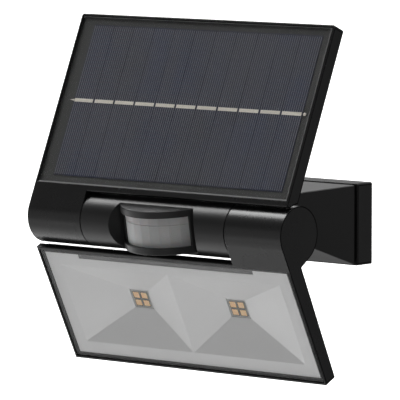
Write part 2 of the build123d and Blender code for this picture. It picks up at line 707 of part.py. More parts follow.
def sensor_housing():
    """Bowed hood with a wide window, closed at its top and foot."""
    hood = bow(SENSOR_RADIUS, (SENSOR_FOOT, SENSOR_TOP), SENSOR_SEAT)
    crown = hood.edges().filter_by(GeomType.CIRCLE)
    hood = fillet(crown, 0.4)
    inner = SENSOR_RADIUS - SENSOR_WALL
    hood -= bow(inner, (SENSOR_FOOT + SENSOR_WALL, SENSOR_TOP - SENSOR_WALL), SENSOR_SEAT - 1)
    hood -= block((-WINDOW_HALF, WINDOW_HALF), WINDOW_Y, (SENSOR_SEAT + 1, SENSOR_SEAT + 20))
    return hood


def sensor_lens():
    """Thin bowed lens behind the window."""
    radius = SENSOR_RADIUS - SENSOR_WALL
    ys = (SENSOR_FOOT + SENSOR_WALL + 0.05, SENSOR_TOP - SENSOR_WALL - 0.05)
    floor = SENSOR_SEAT + 0.1
    hollow = bow(radius - LENS_WALL, (ys[0] - 1, ys[1] + 1), floor - 1)
    return bow(radius - 0.02, ys, floor) - hollow


def board_components():
    """Controller, storage capacitor, inductor, light cell and plug on the sensor's board."""
    top = BOARD_Z[1]
    chip = block((-14.5, -8.5), (-2.5, 2.5), (top, top + 1.2))
    coil = block((8, 13), (-5.5, -0.5), (top, top + 1.6))
    capacitor = rod_z(1.8, top, top + 3.0, 10.5, 3.8)
    light_cell = rod_z(1.3, top, top + 1.8, -11, 5.8)
    plug = block((-8, 8), (-5, -1), (BOARD_Z[0] - 3.0, BOARD_Z[0]))
    return chip, coil, capacitor, light_cell, plug


def sensor_board():
    """Printed circuit board on the hub's four posts."""
    half_x, half_y = (size / 2 for size in BOARD_SIZE)
    board = block((-half_x, half_x), (-half_y, half_y), BOARD_Z)
    for x, y in BOARD_POSTS:
        board -= rod_z(1.1, BOARD_Z[0] - 1, BOARD_Z[1] + 1, x, y)
    return board


add("sensor_housing", SENSOR, sensor_housing())
add("sensor_lens", SENSOR, sensor_lens())
add("sensor_board", SENSOR, sensor_board())
add(
    "motion_sensor",
    SENSOR,
    rod_z(CAN_FLANGE, BOARD_Z[1], BOARD_Z[1] + 0.6)
    + rod_z(CAN_RADIUS, BOARD_Z[1] + 0.6, BOARD_Z[1] + CAN_HEIGHT),
)
add("board_components", SENSOR, *board_components())
add(
    "board_screws",
    SENSOR,
    *[screw_z(x, y, BOARD_Z[1], -1.8, 1.5, 0.8, 0.9) for x, y in BOARD_POSTS],
)

# ---- Battery ------------------------------------------------------------------------
BATTERY_HALF = BATTERY_LENGTH / 2
BATTERY_BUTTON = (2.9, 1.0)     # radius and height of the positive end
CONTACT_HALF = 5.0
CONTACT_SHEET = 0.5
CONTACT_TIP = 2.6


def battery_holder(side):
    """Disc that carries one battery contact."""
    disc = rod_x(HUB_BORE - 0.15, *sorted((side * HOLDER_X[0], side * HOLDER_X[1])))
    reach = BARREL_RADIUS + 5
    return disc - prism_y(seat_outline(SEAT_WALL + 0.2), -reach, reach)


def battery_contact(side):
    """Nickel plate on its holder, with a raised button towards the battery."""
    back = side * HOLDER_X[0]
    front = back - side * CONTACT_SHEET
    span = (-CONTACT_HALF, CONTACT_HALF)
    plate = block(
        sorted((front, back)), span, (BATTERY_Z - CONTACT_HALF, BATTERY_Z + CONTACT_HALF)
    )
    button = BATTERY_BUTTON[1] if side > 0 else 0.0
    start = side * (BATTERY_HALF + button)
    return plate + rod_x(CONTACT_TIP, *sorted((start, front)), 0, BATTERY_Z)


add("battery_cell", SENSOR, rod_x(BATTERY_RADIUS, -BATTERY_HALF, BATTERY_HALF, 0, BATTERY_Z))
add(
    "battery_cap",
    SENSOR,
    rod_x(BATTERY_BUTTON[0], BATTERY_HALF, BATTERY_HALF + BATTERY_BUTTON[1], 0, BATTERY_Z),
)
add("battery_holders", SENSOR, battery_holder(-1), battery_holder(1))
add("battery_contacts", SENSOR, battery_contact(-1), battery_contact(1))

# ---- Wall plate and arm -------------------------------------------------------------
FLANGE_Y = -PLATE_DEPTH - PLATE_GROOVE
NECK_Y = FLANGE_Y - ARM_FLARE
PLATE_WALL = 2.4
TONGUE_GAP = 0.2
TONGUE_END = -5.0
SEAL_INSET = 1.9            # the joint's soft ring inside the plate's outline
LOCK_SCREW_X = 27.0
LOCK_SCREW_Y = -9.0
BUTTON_Y = -78.0
BUTTON_LIP = 1.4            # flange that keeps the button in
BUTTON_TOP = AXIS_Z + NECK_FOOT + WALL + 0.9
SWITCH_HALF = 3.0
SWITCH_Z = 4.2
SWITCH_BOARD_HALF = (11.0, 5.5)
POST_X = 9.0
PLATE_FLOOR = 3.0
COLLAR_RADIUS = 5.0         # thicker rings round the bolt holes
SUNK_DEPTH = 1.3            # of the screws under the plate's lip and the neck
SUNK_GAP = 0.15
SUNK_LENGTH = 5.4


def sunk_screw(x, y, face_z):
    """A screw that goes up into a downward face, with its head in a round recess."""
    return screw_z(x, y, face_z + SUNK_DEPTH, SUNK_LENGTH - SUNK_DEPTH, HEAD_RADIUS, HEAD_HEIGHT)


def sunk_hole(x, y, face_z, wall):
    """The recess and the clearance hole for a sunk screw, through one wall."""
    recess = rod_z(HEAD_RADIUS + SUNK_GAP, face_z - 1, face_z + SUNK_DEPTH, x, y)
    return recess + rod_z(SCREW_CLEARANCE, face_z, face_z + wall + 0.1, x, y)


def wall_plate():
    """Open box against the wall, with two bolt holes through its floor."""
    half = PLATE_HEIGHT / 2
    width = (-PLATE_WIDTH / 2, PLATE_WIDTH / 2)
    box = block(width, (-PLATE_DEPTH, 0), (-half, half))
    box = fillet(box.edges().filter_by(Axis.Y), 1.0)
    box = chamfer(box.faces().sort_by(Axis.Y)[0].edges(), 0.35)
    box -= block(
        (width[0] + PLATE_WALL, width[1] - PLATE_WALL),
        (-PLATE_DEPTH - 1, -PLATE_FLOOR),
        (-half + PLATE_WALL, half - PLATE_WALL),
    )
    for x in (-BOLT_SPACING / 2, BOLT_SPACING / 2):
        box += rod_y(COLLAR_RADIUS, -PLATE_FLOOR - 1.5, -PLATE_FLOOR + 0.5, x)
        box -= rod_y(BOLT_RADIUS, -2 * PLATE_FLOOR, 1, x)
    for x in (-LOCK_SCREW_X, LOCK_SCREW_X):
        box -= sunk_hole(x, LOCK_SCREW_Y, -half, PLATE_WALL)
    return box


def bracket_arm():
    """Hollow arm: a tongue inside the plate, a flare, and a neck that meets the hub."""
    half_width = PLATE_WIDTH / 2 - ARM_INSET
    half_height = PLATE_HEIGHT / 2 - ARM_INSET
    neck_z = (AXIS_Z + NECK_FOOT, AXIS_Z + NECK_TOP)
    neck_half = NECK_WIDTH / 2
    flare = flared_tube(
        (half_width, -half_height, half_height), FLANGE_Y, (neck_half, *neck_z), NECK_Y
    )
    slanted = flare.edges().filter_by(lambda edge: abs(edge.center().Y - NECK_Y) > 5)
    flare = fillet(slanted.filter_by(lambda edge: abs(edge.center().Y - FLANGE_Y) > 5), 0.6)
    neck = block((-neck_half, neck_half), (AXIS_Y + 4, NECK_Y), neck_z)
    arm = flare + fillet(neck.edges().filter_by(Axis.Y), 0.6)
    arm -= HUB * rod_x(BARREL_RADIUS + 0.02, -HALF_WIDTH, HALF_WIDTH)
    arm -= flared_tube(
        (half_width - WALL, -half_height + WALL, half_height - WALL),
        FLANGE_Y,
        (neck_half - WALL, neck_z[0] + WALL, neck_z[1] - WALL),
        NECK_Y,
    )
    arm -= block(
        (-neck_half + WALL, neck_half - WALL),
        (AXIS_Y, NECK_Y + 0.01),
        (neck_z[0] + WALL, neck_z[1] - WALL),
    )
    tongue_half = PLATE_WIDTH / 2 - PLATE_WALL - TONGUE_GAP
    tongue_rise = PLATE_HEIGHT / 2 - PLATE_WALL - TONGUE_GAP
    tongue = block(
        (-tongue_half, tongue_half), (FLANGE_Y, TONGUE_END), (-tongue_rise, tongue_rise)
    )
    tongue -= block(
        (-tongue_half + WALL, tongue_half - WALL),
        (FLANGE_Y - 1, TONGUE_END + 1),
        (-tongue_rise + WALL, tongue_rise - WALL),
    )
    arm += tongue
    for x in (-LOCK_SCREW_X, LOCK_SCREW_X):
        arm -= rod_z(SCREW_CLEARANCE, -tongue_rise - 1, -tongue_rise + WALL + 1, x, LOCK_SCREW_Y)
    for x in (-ARM_SCREW_X, ARM_SCREW_X):
        arm -= sunk_hole(x, AXIS_Y + ARM_SCREW_Y, neck_z[0], WALL)
    arm -= rod_z(BUTTON_RADIUS + 0.3, neck_z[0] - 1, neck_z[0] + WALL + 1, 0, BUTTON_Y)
    floor = neck_z[0] + WALL
    for x in (-POST_X, POST_X):
        span = (BUTTON_Y - SWITCH_BOARD_HALF[1] + 0.5, BUTTON_Y + SWITCH_BOARD_HALF[1] - 0.5)
        arm += block((x - 1.2, x + 1.2), span, (floor - 0.5, SWITCH_Z))
    return arm


def bracket_seal():
    """Soft ring in the joint between the plate and the arm."""
    half_width = PLATE_WIDTH / 2 - SEAL_INSET
    half_height = PLATE_HEIGHT / 2 - SEAL_INSET
    inner_width = PLATE_WIDTH / 2 - PLATE_WALL - TONGUE_GAP + 0.1
    inner_height = PLATE_HEIGHT / 2 - PLATE_WALL - TONGUE_GAP + 0.1
    layer = (FLANGE_Y, -PLATE_DEPTH)
    ring = block((-half_width, half_width), layer, (-half_height, half_height))
    hole = block(
        (-inner_width, inner_width), (layer[0] - 1, layer[1] + 1), (-inner_height, inner_height)
    )
    return ring - hole


def mode_button():
    """Push button under the neck: a cap through the wall, with a flange that keeps it in."""
    foot = AXIS_Z + NECK_FOOT
    wall_top = foot + WALL
    cap = rod_z(BUTTON_RADIUS, foot - 1.4, wall_top + 0.5, 0, BUTTON_Y)
    cap = fillet(cap.faces().sort_by(Axis.Z)[0].edges(), 0.6)
    return cap + rod_z(BUTTON_RADIUS + BUTTON_LIP, wall_top + 0.1, BUTTON_TOP, 0, BUTTON_Y)


add("wall_plate", WORLD, wall_plate())
add("bracket_seal", WORLD, bracket_seal())
add("bracket_arm", WORLD, bracket_arm())
add(
    "bracket_lock_screws",
    WORLD,
    *[sunk_screw(x, LOCK_SCREW_Y, -PLATE_HEIGHT / 2) for x in (-LOCK_SCREW_X, LOCK_SCREW_X)],
)
add(
    "arm_screws",
    WORLD,
    *[
        sunk_screw(x, AXIS_Y + ARM_SCREW_Y, AXIS_Z + NECK_FOOT)
        for x in (-ARM_SCREW_X, ARM_SCREW_X)
    ],
)
add("mode_button", WORLD, mode_button())
add(
    "button_switch",
    WORLD,
    block(
        (-SWITCH_HALF, SWITCH_HALF),
        (BUTTON_Y - SWITCH_HALF, BUTTON_Y + SWITCH_HALF),
        (BUTTON_TOP + BUTTON_TRAVEL + 0.3, SWITCH_Z),
    ),
)
add(
    "switch_board",
    WORLD,
    block(
        (-SWITCH_BOARD_HALF[0], SWITCH_BOARD_HALF[0]),
        (BUTTON_Y - SWITCH_BOARD_HALF[1], BUTTON_Y + SWITCH_BOARD_HALF[1]),
        (SWITCH_Z, SWITCH_Z + 1.0),
    ),
)

os.makedirs("parts", exist_ok=True)
for name, shape in nodes.items():
    export_step(shape, f"parts/{name}.step")
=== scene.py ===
import json
from math import acos, copysign, cos, hypot, pi, radians, sin

import bmesh
import bpy
from mathutils import Matrix, Vector


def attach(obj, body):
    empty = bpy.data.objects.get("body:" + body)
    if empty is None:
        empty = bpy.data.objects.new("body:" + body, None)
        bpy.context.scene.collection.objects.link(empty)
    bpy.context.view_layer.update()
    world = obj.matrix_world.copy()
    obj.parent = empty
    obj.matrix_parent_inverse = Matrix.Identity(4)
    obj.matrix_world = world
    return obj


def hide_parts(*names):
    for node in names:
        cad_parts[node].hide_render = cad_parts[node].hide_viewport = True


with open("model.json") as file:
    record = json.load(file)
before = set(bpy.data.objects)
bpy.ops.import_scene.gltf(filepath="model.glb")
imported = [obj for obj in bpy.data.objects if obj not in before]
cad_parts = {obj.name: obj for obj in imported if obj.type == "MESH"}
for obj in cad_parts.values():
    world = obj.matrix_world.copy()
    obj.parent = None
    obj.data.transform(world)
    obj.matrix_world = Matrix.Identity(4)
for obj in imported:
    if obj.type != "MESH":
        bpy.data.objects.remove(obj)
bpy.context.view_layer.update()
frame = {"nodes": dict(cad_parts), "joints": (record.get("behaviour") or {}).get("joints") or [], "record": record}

MM = 0.001
nodes = frame["nodes"]
axis_point = Vector(frame["joints"][0]["pos_m"])

# ---- Camera, floor and light ---------------------------------------------------------
CAMERA_AZIMUTH = 41.17      # degrees
CAMERA_ELEVATION = 5.69
CAMERA_DISTANCE = 2.3835    # from the middle of the barrel
AIM_RIGHT = 0.0159          # the picture's middle, from the middle of the barrel
AIM_UP = 0.0127
LENS = 408.4                # millimetres, like the sensor's width
SENSOR_WIDTH = 36.0
CLIP_START = 0.05
CLIP_END = 60.0
FLOOR_HEIGHT = -0.35
FLOOR_RADIUS = 5.0
FLOOR_SIDES = 96
FLOOR_WHITE = 0.9
FLOOR_CURVE = 1.5           # radius of the bend between the floor and the backdrop
FLOOR_CURVE_STEPS = 12
WALL_TOP = 5.0
SUN_DISTANCE = 2.0
ROOM_LIGHT = 0.13           # the world's strength


def look(obj, target):
    """Turn a camera or a light so that it looks at a point."""
    obj.rotation_euler = (target - obj.location).to_track_quat("-Z", "Y").to_euler()


def make_camera():
    """A long lens, where the photo was taken from."""
    azimuth, elevation = radians(CAMERA_AZIMUTH), radians(CAMERA_ELEVATION)
    ahead = Vector((-sin(azimuth) * cos(elevation), cos(azimuth) * cos(elevation), -sin(elevation)))
    right = Vector((cos(azimuth), sin(azimuth), 0.0))
    data = bpy.data.cameras.new("camera")
    data.sensor_width = SENSOR_WIDTH
    data.lens = LENS
    data.clip_start = CLIP_START
    data.clip_end = CLIP_END
    camera = bpy.data.objects.new("camera", data)
    bpy.context.scene.collection.objects.link(camera)
    camera.location = axis_point - ahead * CAMERA_DISTANCE
    look(camera, axis_point + right * AIM_RIGHT + right.cross(ahead) * AIM_UP)
    bpy.context.scene.camera = camera


def make_stage():
    """A pale floor that curves up into a backdrop all round."""
    profile = [(0.0, FLOOR_HEIGHT), (FLOOR_RADIUS, FLOOR_HEIGHT)]
    for step in range(1, FLOOR_CURVE_STEPS + 1):
        turn = pi / 2 * step / FLOOR_CURVE_STEPS
        reach = FLOOR_RADIUS + FLOOR_CURVE * sin(turn)
        profile.append((reach, FLOOR_HEIGHT + FLOOR_CURVE * (1 - cos(turn))))
    profile.append((FLOOR_RADIUS + FLOOR_CURVE, WALL_TOP))
    mesh = bmesh.new()
    points = [mesh.verts.new((x, 0.0, z)) for x, z in profile]
    edges = [mesh.edges.new(pair) for pair in zip(points, points[1:])]
    bmesh.ops.spin(
        mesh,
        geom=points + edges,
        angle=2 * pi,
        steps=FLOOR_SIDES,
        axis=(0, 0, 1),
        cent=(0, 0, 0),
        use_merge=True,
    )
    data = bpy.data.meshes.new("floor")
    mesh.to_mesh(data)
    mesh.free()
    for face in data.polygons:
        face.use_smooth = True
    floor = bpy.data.objects.new("floor", data)
    bpy.context.scene.collection.objects.link(floor)
    floor.visible_diffuse = False
    floor.visible_glossy = False
    floor.visible_transmission = False
    floor.visible_shadow = False
    mat, tree, shader = new_material("floor_white")
    shader.inputs["Base Color"].default_value = (FLOOR_WHITE, FLOOR_WHITE, FLOOR_WHITE, 1.0)
    shader.inputs["Roughness"].default_value = 0.9
    shader.inputs["Emission Color"].default_value = (1.0, 1.0, 1.0, 1.0)
    shader.inputs["Emission Strength"].default_value = 1.0
    data.materials.append(mat)


def soft_sun(name, azimuth, elevation, strength, spread_angle):
    """A far soft box, in degrees: azimuth 0 is in front of the object and 90 at its right."""
    data = bpy.data.lights.new(name, "SUN")
    data.energy = strength
    data.angle = radians(spread_angle)
    light = bpy.data.objects.new(name, data)
    bpy.context.scene.collection.objects.link(light)
    turn, rise = radians(azimuth), radians(elevation)
    towards = Vector((sin(turn) * cos(rise), -cos(turn) * cos(rise), sin(rise)))
    light.location = axis_point + towards * SUN_DISTANCE
    look(light, axis_point)


def make_world():
    """Dim, even room light."""
    world = bpy.data.worlds.new("studio")
    bpy.context.scene.world = world
    world.use_nodes = True
    background = world.node_tree.nodes["Background"]
    background.inputs["Color"].default_value = (1.0, 1.0, 1.0, 1.0)
    background.inputs["Strength"].default_value = ROOM_LIGHT


def make_lights():
    """Strong boxes at the left, behind at the right and below, and weak ones all round."""
    soft_sun("side_left", -83, 50, 0.92, 20)
    soft_sun("rim_left", -140, 65, 0.20, 40)
    soft_sun("rim_right", 140, 65, 1.40, 40)
    soft_sun("side_right", 110, 42, 0.36, 40)
    soft_sun("floor_bounce", -20, -73, 0.90, 60)
    soft_sun("low_left", -48, -34, 0.18, 40)
    soft_sun("low_side", -92, -30, 0.68, 40)
    soft_sun("low_back", -135, -28, 0.085, 40)
    soft_sun("backdrop_glow", -138, 24, 0.12, 20)
    soft_sun("high_left", -35, 60, 0.10, 40)
    soft_sun("fill_left", -50, -5, 0.11, 40)
    soft_sun("fill_front", 5, -5, 0.12, 40)
    soft_sun("fill_right", 100, 0, 0.08, 70)


# ---- Node trees ----------------------------------------------------------------------
def new_material(name):
    """A material, its node tree and its shader."""
    mat = bpy.data.materials.new(name)
    mat.use_nodes = True
    return mat, mat.node_tree, mat.node_tree.nodes["Principled BSDF"]


def add(tree, kind, values=None, **settings):
    """A node with some of its sockets and settings set."""
    node = tree.nodes.new(kind)
    for name, value in settings.items():
        setattr(node, name, value)
    for name, value in (values or {}).items():
        node.inputs[name].default_value = value
    return node


def noise(tree, scale, detail=3.0, stretch=None):
    """Noise in the object's own space, in features to the metre, as a 0 to 1 socket."""
    place = add(tree, "ShaderNodeTexCoord").outputs["Object"]
    if stretch:
        mapping = add(tree, "ShaderNodeMapping", {"Scale": stretch})
        tree.links.new(place, mapping.inputs["Vector"])
        place = mapping.outputs["Vector"]
    texture = add(tree, "ShaderNodeTexNoise", {"Scale": scale, "Detail": detail})
    tree.links.new(place, texture.inputs["Vector"])
    return texture.outputs["Fac"]


def spread(tree, source, low, high, start=0.35, end=0.65):
    """A socket whose values from start to end are mapped to low to high."""
    values = {"From Min": start, "From Max": end, "To Min": low, "To Max": high}
    mapped = add(tree, "ShaderNodeMapRange", values)
    tree.links.new(source, mapped.inputs["Value"])
    return mapped.outputs["Result"]


def blend(tree, factor, first, second):
    """A mix of two colours, given as colours or sockets."""
    mix = add(tree, "ShaderNodeMix", data_type="RGBA")
    tree.links.new(factor, mix.inputs["Factor"])
    for name, colour in (("A", first), ("B", second)):
        socket = next(s for s in mix.inputs if s.name == name and s.type == "RGBA")
        if isinstance(colour, bpy.types.NodeSocket):
            tree.links.new(colour, socket)
        else:
            socket.default_value = (*colour, 1.0)
    return next(s for s in mix.outputs if s.type == "RGBA")


def rounded(tree, radius):
    """Normals that round a part's sharp edges."""
    return add(tree, "ShaderNodeBevel", {"Radius": radius}, samples=4).outputs["Normal"]


def bump(tree, height, distance, strength=1.0, normal=None):
    """A bumped normal. distance is the height of the bumps, in metres."""
    node = add(tree, "ShaderNodeBump", {"Strength": strength, "Distance": distance})
    tree.links.new(height, node.inputs["Height"])
    if normal:
        tree.links.new(normal, node.inputs["Normal"])
    return node.outputs["Normal"]


def surface(tree, shader, colour, roughness, normal):
    """Connect a shader's colour, roughness and normal."""
    tree.links.new(colour, shader.inputs["Base Color"])
    tree.links.new(roughness, shader.inputs["Roughness"])
    tree.links.new(normal, shader.inputs["Normal"])


# ---- Materials -----------------------------------------------------------------------
PLASTIC_BLACKS = ((0.0100, 0.0100, 0.0102), (0.0130, 0.0130, 0.0132))
# painted shade: the near-black colour that the plastic's sharp edges are darkened to
EDGE_SHADE_BLACK = (0.002, 0.002, 0.002)
EDGE_DULLING = 0.20         # added to the roughness at sharp edges
EDGE_RADIUS = 0.0005
EDGE_SHADE_RADIUS = 0.0007
CREASE_RADIUS = 0.0009
PLATED_RADIUS = 0.0001
EDGE_COSINES = (0.86, 0.995)        # rounded normal to true normal, from an edge to a face
PANE_COSINES = (0.93, 0.985)        # normal to the pane's front, from its edges to its faces
PANE_EDGE_CLEARNESS = 0.35
SMEAR_SHADE = 0.985
SMEAR_DULLING = 0.03
EDGE_LINE_SPECULAR = 0.05


def grained(name, first, second, rough, grain, depth, patch=40.0):
    """A moulded or coated surface: patchy colour, patchy roughness and a fine grain.

    grain and patch are features to the metre, and depth is the grain's height in metres.
    """
    mat, tree, shader = new_material(name)
    patches = noise(tree, patch, 4.0)
    fine = noise(tree, grain, 2.0)
    colour = blend(tree, spread(tree, patches, 0.0, 1.0), first, second)
    surface(tree, shader, colour, spread(tree, patches, *rough), bump(tree, fine, depth))
    return mat


def edge_shade_mask(tree, radius):
    """A socket that is 1 on the part's sharp edges and 0 on its faces, a little broken up: the mask of the painted
    shade on the edges.
    """
    soft = rounded(tree, radius)
    geometry = add(tree, "ShaderNodeNewGeometry")
    match = add(tree, "ShaderNodeVectorMath", operation="DOT_PRODUCT")
    tree.links.new(soft, match.inputs[0])
    tree.links.new(geometry.outputs["Normal"], match.inputs[1])
    edges = spread(tree, match.outputs["Value"], 1.0, 0.0, *EDGE_COSINES)
    broken = add(tree, "ShaderNodeMath", operation="MULTIPLY")
    tree.links.new(edges, broken.inputs[0])
    tree.links.new(spread(tree, noise(tree, 260.0, 3.0), 0.35, 1.0), broken.inputs[1])
    return broken.outputs[0]


def black_plastic(name, smooth, dull):
    """Black moulded plastic with a fine grain, with painted shade that darkens it along the mould's sharp edges,
    where it is also duller.

    smooth and dull are the lowest and highest roughness of its faces.
    """
    mat, tree, shader = new_material(name)
    patches = noise(tree, 24.0, 5.0)
    grain = noise(tree, 3200.0, 2.0)
    flow = noise(tree, 9.0, 2.0, stretch=(0.4, 1.0, 1.0))
    painted_edge_shade = edge_shade_mask(tree, EDGE_SHADE_RADIUS)
    base = blend(tree, spread(tree, patches, 0.0, 1.0), *PLASTIC_BLACKS)
    # painted shade: the colour turns near-black along the sharp edges
    colour = blend(tree, painted_edge_shade, base, EDGE_SHADE_BLACK)
    rough = add(tree, "ShaderNodeMath", operation="ADD")
    tree.links.new(spread(tree, patches, smooth, dull), rough.inputs[0])
    tree.links.new(spread(tree, painted_edge_shade, 0.0, EDGE_DULLING, 0.0, 1.0), rough.inputs[1])
    swell = bump(tree, flow, 0.00020, 0.2, rounded(tree, EDGE_RADIUS))
    normal = bump(tree, grain, 0.00002, 0.4, swell)
    surface(tree, shader, colour, rough.outputs[0], normal)
    return mat


def pane(name, node, tint, edge_colour, roughness, bending):
    """Clear sheet glass: faintly wavy faces, and ground edges that catch the light.

    bending is the refractive index, which is low where the glass is coated against glare.
    Shadow rays go straight through, so that what lies under the glass is lit.
    """
    mat, tree, shader = new_material(name)
    facing = add(tree, "ShaderNodeVectorMath", operation="DOT_PRODUCT")
    tree.links.new(add(tree, "ShaderNodeTexCoord").outputs["Normal"], facing.inputs[0])
    facing.inputs[1].default_value = front_normal(node)
    squareness = add(tree, "ShaderNodeMath", operation="ABSOLUTE")
    tree.links.new(facing.outputs["Value"], squareness.inputs[0])
    ground = spread(tree, squareness.outputs[0], 1.0, 0.0, *PANE_COSINES)
    smears = noise(tree, 30.0, 5.0, stretch=(0.5, 1.0, 1.6))
    smeared = tuple(part * SMEAR_SHADE for part in tint)
    base = blend(tree, spread(tree, smears, 0.0, 1.0), tint, smeared)
    colour = blend(tree, ground, base, edge_colour)
    wavy = bump(tree, noise(tree, 18.0, 1.0), 0.00002, 0.3)
    dull = spread(tree, smears, roughness, roughness + SMEAR_DULLING)
    surface(tree, shader, colour, dull, wavy)
    clear = spread(tree, ground, 1.0, PANE_EDGE_CLEARNESS, 0.0, 1.0)
    tree.links.new(clear, shader.inputs["Transmission Weight"])
    shader.inputs["IOR"].default_value = bending
    through = add(tree, "ShaderNodeBsdfTransparent")
    paths = add(tree, "ShaderNodeLightPath")
    mix = add(tree, "ShaderNodeMixShader")
    output = tree.nodes["Material Output"]
    tree.links.new(paths.outputs["Is Shadow Ray"], mix.inputs["Fac"])
    tree.links.new(shader.outputs["BSDF"], mix.inputs[1])
    tree.links.new(through.outputs["BSDF"], mix.inputs[2])
    tree.links.new(mix.outputs["Shader"], output.inputs["Surface"])
    return mat


def cell_silicon():
    """Dark silicon whose hue drifts between blue, violet and plain grey, under a clear coat."""
    mat, tree, shader = new_material("cell_silicon")
    drift = noise(tree, 26.0, 3.0)
    cloud = noise(tree, 75.0, 4.0, stretch=(1.0, 0.35, 0.35))
    blue, grey, violet = (0.016, 0.021, 0.058), (0.026, 0.026, 0.041), (0.022, 0.022, 0.044)
    drifting = blend(tree, spread(tree, drift, 0.0, 1.0, 0.40, 0.60), blue, grey)
    colour = blend(tree, spread(tree, cloud, 0.0, 1.0), drifting, violet)
    surface(tree, shader, colour, spread(tree, cloud, 0.36, 0.44), bump(tree, cloud, 0.00001, 0.2))
    shader.inputs["Coat Weight"].default_value = 0.15
    shader.inputs["Coat Roughness"].default_value = 0.2
    return mat


def metal(name, first, second, rough, scale, stretch, metallic=1.0):
    """Drawn, turned or plated metal with fine lines.

    scale is lines to the metre, and stretch makes them finer along an axis.
    """
    mat, tree, shader = new_material(name)
    lines = noise(tree, scale, 3.0, stretch)
    colour = blend(tree, spread(tree, lines, 0.0, 1.0), first, second)
    normal = bump(tree, lines, 0.00001, 0.5, rounded(tree, PLATED_RADIUS))
    surface(tree, shader, colour, spread(tree, lines, *rough), normal)
    shader.inputs["Metallic"].default_value = metallic
    return mat


def reflector_satin():
    """Satin metallised plastic: soft sheen, faint flow marks and rounded creases."""
    mat, tree, shader = new_material("reflector_satin")
    haze = noise(tree, 16.0, 4.0)
    grain = noise(tree, 2400.0, 2.0)
    colour = blend(tree, spread(tree, haze, 0.0, 1.0), (0.73, 0.73, 0.73), (0.77, 0.77, 0.77))
    normal = bump(tree, grain, 0.00002, 0.5, rounded(tree, CREASE_RADIUS))
    surface(tree, shader, colour, spread(tree, haze, 0.38, 0.46), normal)
    shader.inputs["Metallic"].default_value = 0.25
    return mat


def led_phosphor():
    """Orange phosphor in silicone, drifting between a paler and a deeper shade."""
    mat, tree, shader = new_material("led_phosphor")
    grains = noise(tree, 1500.0, 4.0)
    glow = noise(tree, 330.0, 2.0)
    colour = blend(tree, spread(tree, glow, 0.0, 1.0), (0.94, 0.64, 0.34), (0.96, 0.57, 0.26))
    surface(tree, shader, colour, spread(tree, grains, 0.28, 0.4), bump(tree, grains, 0.00003, 0.6))
    shader.inputs["Subsurface Weight"].default_value = 0.15
    shader.inputs["Subsurface Scale"].default_value = 0.0004
    return mat


def lens_plastic():
    """Milky polyethylene, a little translucent."""
    mat, tree, shader = new_material("lens_milky")
    cloud = noise(tree, 60.0, 4.0)
    grain = noise(tree, 2600.0, 2.0)
    colour = blend(tree, spread(tree, cloud, 0.0, 1.0), (0.49, 0.49, 0.49), (0.59, 0.59, 0.59))
    surface(tree, shader, colour, spread(tree, cloud, 0.34, 0.42), bump(tree, grain, 0.00001, 0.4))
    shader.inputs["Subsurface Weight"].default_value = 0.2
    shader.inputs["Subsurface Scale"].default_value = 0.0008
    return mat


def slot_materials():
    """One material for each of the record's slots."""
    return {
        "black_housing": black_plastic("black_housing", 0.33, 0.39),
        "rubber_seal": grained(
            "rubber_seal", (0.008,) * 3, (0.012,) * 3, (0.7, 0.85), 1800.0, 0.00004
        ),
        "screw_steel": metal(
            "screw_steel", (0.50,) * 3, (0.62,) * 3, (0.28, 0.42), 900.0, (1.0, 1.0, 4.0)
        ),
        "axle_alloy": metal(
            "axle_alloy", (0.60,) * 3, (0.70,) * 3, (0.22, 0.34), 1200.0, (6.0, 1.0, 1.0)
        ),
        "circuit_board": grained(
            "circuit_board",
            (0.010, 0.085, 0.030),
            (0.016, 0.12, 0.045),
            (0.25, 0.4),
            700.0,
            0.00002,
            220.0,
        ),
        "board_parts": grained(
            "board_parts", (0.02,) * 3, (0.035,) * 3, (0.4, 0.55), 1500.0, 0.00002
        ),
        "metal_can": metal(
            "metal_can", (0.55,) * 3, (0.66, 0.65, 0.62), (0.22, 0.34), 700.0, (1.0, 3.0, 3.0)
        ),
        "sensor_lens": lens_plastic(),
        "battery_wrap": grained(
            "battery_wrap", (0.018, 0.06, 0.20), (0.025, 0.08, 0.25), (0.2, 0.3), 600.0, 0.00001
        ),
        "cell_silicon": cell_silicon(),
        "ribbon_tin": metal(
            "ribbon_tin",
            (0.93, 0.87, 0.78),
            (0.82, 0.77, 0.68),
            (0.40, 0.55),
            900.0,
            (1.0, 5.0, 5.0),
            0.35,
        ),
        "backsheet": grained(
            "backsheet", (0.037, 0.037, 0.035), (0.042, 0.042, 0.040), (0.5, 0.6), 1600.0, 0.00002
        ),
        "panel_glass": pane(
            "panel_glass", "panel_glass", (0.97, 0.98, 0.98), (0.62, 0.63, 0.63), 0.04, 1.27
        ),
        "lamp_glass": pane(
            "lamp_glass", "lamp_glass", (0.99, 0.99, 0.99), (0.45, 0.46, 0.46), 0.03, 1.45
        ),
        "glass_border": grained(
            "glass_border", (0.02,) * 3, (0.026,) * 3, (0.3, 0.4), 900.0, 0.00001
        ),
        "reflector_satin": reflector_satin(),
        "thermal_pad": grained(
            "thermal_pad", (0.30, 0.31, 0.33), (0.36, 0.37, 0.39), (0.7, 0.8), 900.0, 0.00005
        ),
        "led_board_alloy": grained(
            "led_board", (0.70, 0.70, 0.68), (0.76, 0.76, 0.74), (0.35, 0.5), 800.0, 0.00001
        ),
        "led_ceramic": grained(
            "led_ceramic",
            (0.62, 0.62, 0.62),
            (0.70, 0.70, 0.69),
            (0.4, 0.5),
            2600.0,
            0.00001,
            300.0,
        ),
        "led_phosphor": led_phosphor(),
    }


